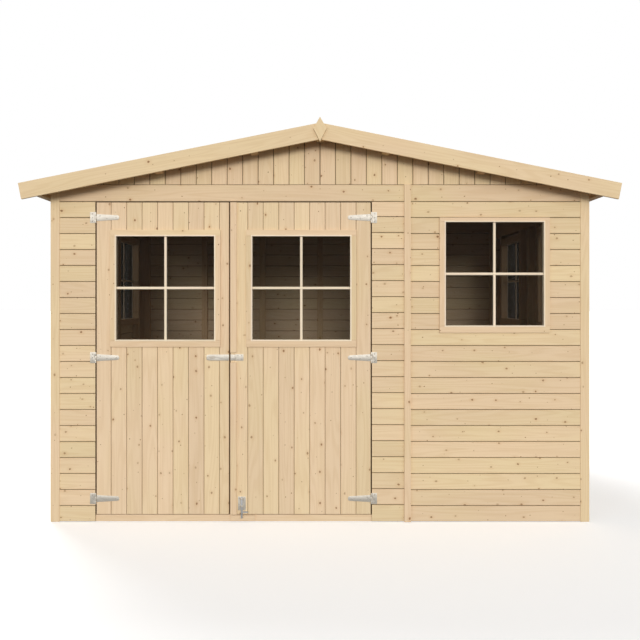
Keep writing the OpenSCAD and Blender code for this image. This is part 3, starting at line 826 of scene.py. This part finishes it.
def build_timbers():
    dress("corner_board_planks", ["corner_boards"], SHELL, "trim", 2 * MM, 101)
    dress("joint_batten_planks", ["joint_battens"], SHELL, "trim", 2 * MM, 102)
    dress("barge_board_planks", ["barge_boards"], SHELL, "trim", 2 * MM, 103)
    dress("finial_diamonds", ["finials"], SHELL, "trim", 1.5 * MM, 104)
    dress("eave_batten_bars", ["eave_battens"], SHELL, "trim", 2 * MM, 105)
    dress("door_sill_plank", ["door_sill"], SHELL, "trim", 2 * MM, 106)
    dress("bolt_block_piece", ["bolt_block"], SHELL, "trim", 1.5 * MM, 107)
    dress("purlin_bars", ["purlins"], SHELL, "frame_timber", 2 * MM, 108)
    dress("wall_plate_bars", ["wall_plates"], SHELL, "frame_timber", 2 * MM, 109)
    dress("floor_bearer_bars", ["floor_bearers"], SHELL, "frame_timber", 1.5 * MM, 110)
    for i, node in enumerate(("front_frame", "back_frame", "left_wall_frame", "right_wall_frame")):
        dress(node + "_timbers", [node], SHELL, "frame_timber", 1.5 * MM, 120 + i)
    dress("front_window_trim_boards", ["front_window_trim"], SHELL, "trim", 1.5 * MM, 130)
    dress("side_window_trim_boards", ["side_window_trims"], SHELL, "trim", 1.5 * MM, 131)
    dress("left_door_trim_boards", ["left_door_window_trim"], LEFT, "trim", 1.5 * MM, 132)
    dress("right_door_trim_boards", ["right_door_window_trim"], RIGHT, "trim", 1.5 * MM, 133)
    dress("left_door_ledges", ["left_door_battens"], LEFT, "frame_timber", 1.5 * MM, 134)
    dress("right_door_ledges", ["right_door_battens"], RIGHT, "frame_timber", 1.5 * MM, 135)
    dress("cover_strip_boards", ["door_cover_strip"], RIGHT, "trim", 1.5 * MM, 136)


def build_windows():
    window("front_window_bars", "front_window_glass", SHELL, 72)
    window("left_door_window_bars", "left_door_glass", LEFT, 73)
    window("right_door_window_bars", "right_door_glass", RIGHT, 74)
    side_windows()
    for node in ("front_window_glass", "left_door_glass", "right_door_glass", "side_window_glass"):
        mesh = frame["nodes"][node].data
        mesh.materials.clear()
        mesh.materials.append(MATERIALS["pane"])


def build_ironwork():
    edge = IRON_EDGE
    dress("hinge_leaf_plates", ["hinge_leaves"], SHELL, "zinc", edge, 140, smooth=True)
    dress("left_hinge_straps", ["left_door_straps"], LEFT, "zinc", edge, 141, smooth=True)
    dress("right_hinge_straps", ["right_door_straps"], RIGHT, "zinc", edge, 142, smooth=True)
    dress("hasp_and_staple", ["hasp_strap"], LEFT, "zinc", edge, 143, smooth=True)
    dress("hasp_hinge", ["hasp_leaf"], RIGHT, "zinc", edge, 144, smooth=True)
    dress("bolt_plate", ["drop_bolt_plate"], RIGHT, "zinc", edge, 145, smooth=True)
    dress("drop_bolt_rod", ["drop_bolt"], BOLT, "bolt_steel", edge, 146, smooth=True)

    joints = {j["name"]: j for j in frame["joints"]}
    strap_y = corners("left_door")[0].y - PLATE_T
    h_lo, h_hi = corners("hinge_leaves")
    levels = (h_lo.z + LEAF_H / 2, HINGE_MID_Z, h_hi.z - LEAF_H / 2)
    for side, body, joint in ((1, LEFT, "left_door_hinge"), (-1, RIGHT, "right_door_hinge")):
        pin = joints[joint]["pos_m"][0]
        spots = []
        for z in levels:
            spots += [Vector((pin + side * dx, strap_y, z + dz)) for dx, dz in STRAP_SCREWS]
        screw_heads(body + "_strap_screws", spots, body)
        spots = [Vector((pin - side * LEAF_SCREW_X, strap_y, z + dz))
                 for z in levels for dz in LEAF_SCREW_Z]
        screw_heads(body + "_hinge_screws", spots, SHELL)
    lo, hi = corners("hasp_leaf")
    mid = (lo.z + hi.z) / 2
    screw_heads("hasp_screws", [Vector((hi.x - dx, strap_y, mid + dz))
                                for dx in HASP_SCREW_X for dz in HASP_SCREW_Z], RIGHT)
    lo, hi = corners("drop_bolt_plate")
    inset_x, inset_z = PLATE_SCREW_IN
    screw_heads("bolt_plate_screws", [Vector((x, strap_y, z)) for x in (lo.x + inset_x, hi.x - inset_x)
                                      for z in (lo.z + inset_z, hi.z - inset_z)], RIGHT, SMALL_HEAD)


# ---------------------------------------------------------------- stage

# brightness of the surround, from straight down to straight up: (sine of the height, brightness)
SURROUND = ((-1.0, 0.09), (-0.12, 0.09), (-0.03, 1.0), (0.46, 1.0), (0.62, 0.30), (1.0, 0.30))
# soft lights: degrees round from the front towards +X, degrees up, strength, width in degrees
LAMPS = {
    "key": (2, 9, 1.56, 14),
    "right": (38, 12, 0.30, 14),
    "left": (-40, 10, 0.25, 14),
    "behind": (205, 44, 1.7, 25),
}
SOFT_SHARE = 0.84       # share of the surround's brightness that lights dull surfaces
MIRROR_SHARE = 1.45     # the same for what metal mirrors
MIRROR_LOW = 0.27       # the least brightness that metal mirrors, so its low pieces read as grey


FLOOR_SIZE = 160.0
FLOOR_GLOW = 0.40       # the floor's own light, which keeps it pale away from the lamps


def build_stage():
    """A plain pale floor, a white surround that is dim from below and above, and four soft lights."""
    bpy.ops.mesh.primitive_plane_add(size=FLOOR_SIZE, location=(0.0, 0.0, cad_box[0][2] - 0.0005))
    ground = bpy.context.object
    ground.name = "stage_floor"
    ground.visible_diffuse = False
    ground.visible_glossy = False
    m = Nodes("stage_pale")
    m.bsdf.inputs["Base Color"].default_value = (0.9, 0.9, 0.9, 1.0)
    m.bsdf.inputs["Roughness"].default_value = 0.9
    m.bsdf.inputs["Emission Color"].default_value = (1.0, 1.0, 1.0, 1.0)
    m.bsdf.inputs["Emission Strength"].default_value = FLOOR_GLOW
    ground.data.materials.append(m.mat)

    scene = bpy.context.scene
    world = bpy.data.worlds.new("studio")
    scene.world = world
    world.use_nodes = True
    tree = world.node_tree
    coord = tree.nodes.new("ShaderNodeTexCoord")
    split = tree.nodes.new("ShaderNodeSeparateXYZ")
    height = tree.nodes.new("ShaderNodeMapRange")
    height.inputs["From Min"].default_value = -1.0
    fade = tree.nodes.new("ShaderNodeValToRGB")
    stops = fade.color_ramp.elements
    while len(stops) < len(SURROUND):
        stops.new(1.0)
    for stop, (rise, bright) in zip(stops, SURROUND):
        stop.position = (rise + 1.0) / 2.0
        stop.color = (bright, bright, bright, 1.0)
    tree.links.new(coord.outputs["Generated"], split.inputs[0])
    tree.links.new(split.outputs["Z"], height.inputs["Value"])
    tree.links.new(height.outputs[0], fade.inputs[0])
    rays = tree.nodes.new("ShaderNodeLightPath")
    back = tree.nodes["Background"]
    # the surround's strength: 1 for the camera, MIRROR_SHARE in gloss, SOFT_SHARE otherwise
    level = None
    for ray, gain in (("Is Camera Ray", 1.0), ("Is Glossy Ray", MIRROR_SHARE)):
        step = tree.nodes.new("ShaderNodeMath")
        step.operation = "MULTIPLY_ADD"
        step.inputs[1].default_value = gain - SOFT_SHARE
        step.inputs[2].default_value = SOFT_SHARE
        tree.links.new(rays.outputs[ray], step.inputs[0])
        if level:
            tree.links.new(level.outputs[0], step.inputs[2])
        level = step
    tree.links.new(level.outputs[0], back.inputs["Strength"])
    shine = tree.nodes.new("ShaderNodeMath")
    shine.operation = "MULTIPLY"
    shine.inputs[1].default_value = MIRROR_LOW
    either = tree.nodes.new("ShaderNodeMath")
    either.operation = "MAXIMUM"
    tree.links.new(rays.outputs["Is Glossy Ray"], shine.inputs[0])
    tree.links.new(shine.outputs[0], either.inputs[0])
    tree.links.new(fade.outputs[0], either.inputs[1])
    tree.links.new(either.outputs[0], back.inputs["Color"])

    for name, (round_from, up, strength, width) in LAMPS.items():
        sun = bpy.data.lights.new(name, "SUN")
        sun.energy = strength
        sun.angle = math.radians(width)
        lamp = bpy.data.objects.new(name, sun)
        lamp.visible_glossy = False
        lamp.rotation_euler = (math.radians(90 - up), 0.0, math.radians(round_from))
        scene.collection.objects.link(lamp)
    scene.view_settings.view_transform = "Standard"


make_camera()
build_stage()
build_cladding()
build_timbers()
build_windows()
build_ironwork()
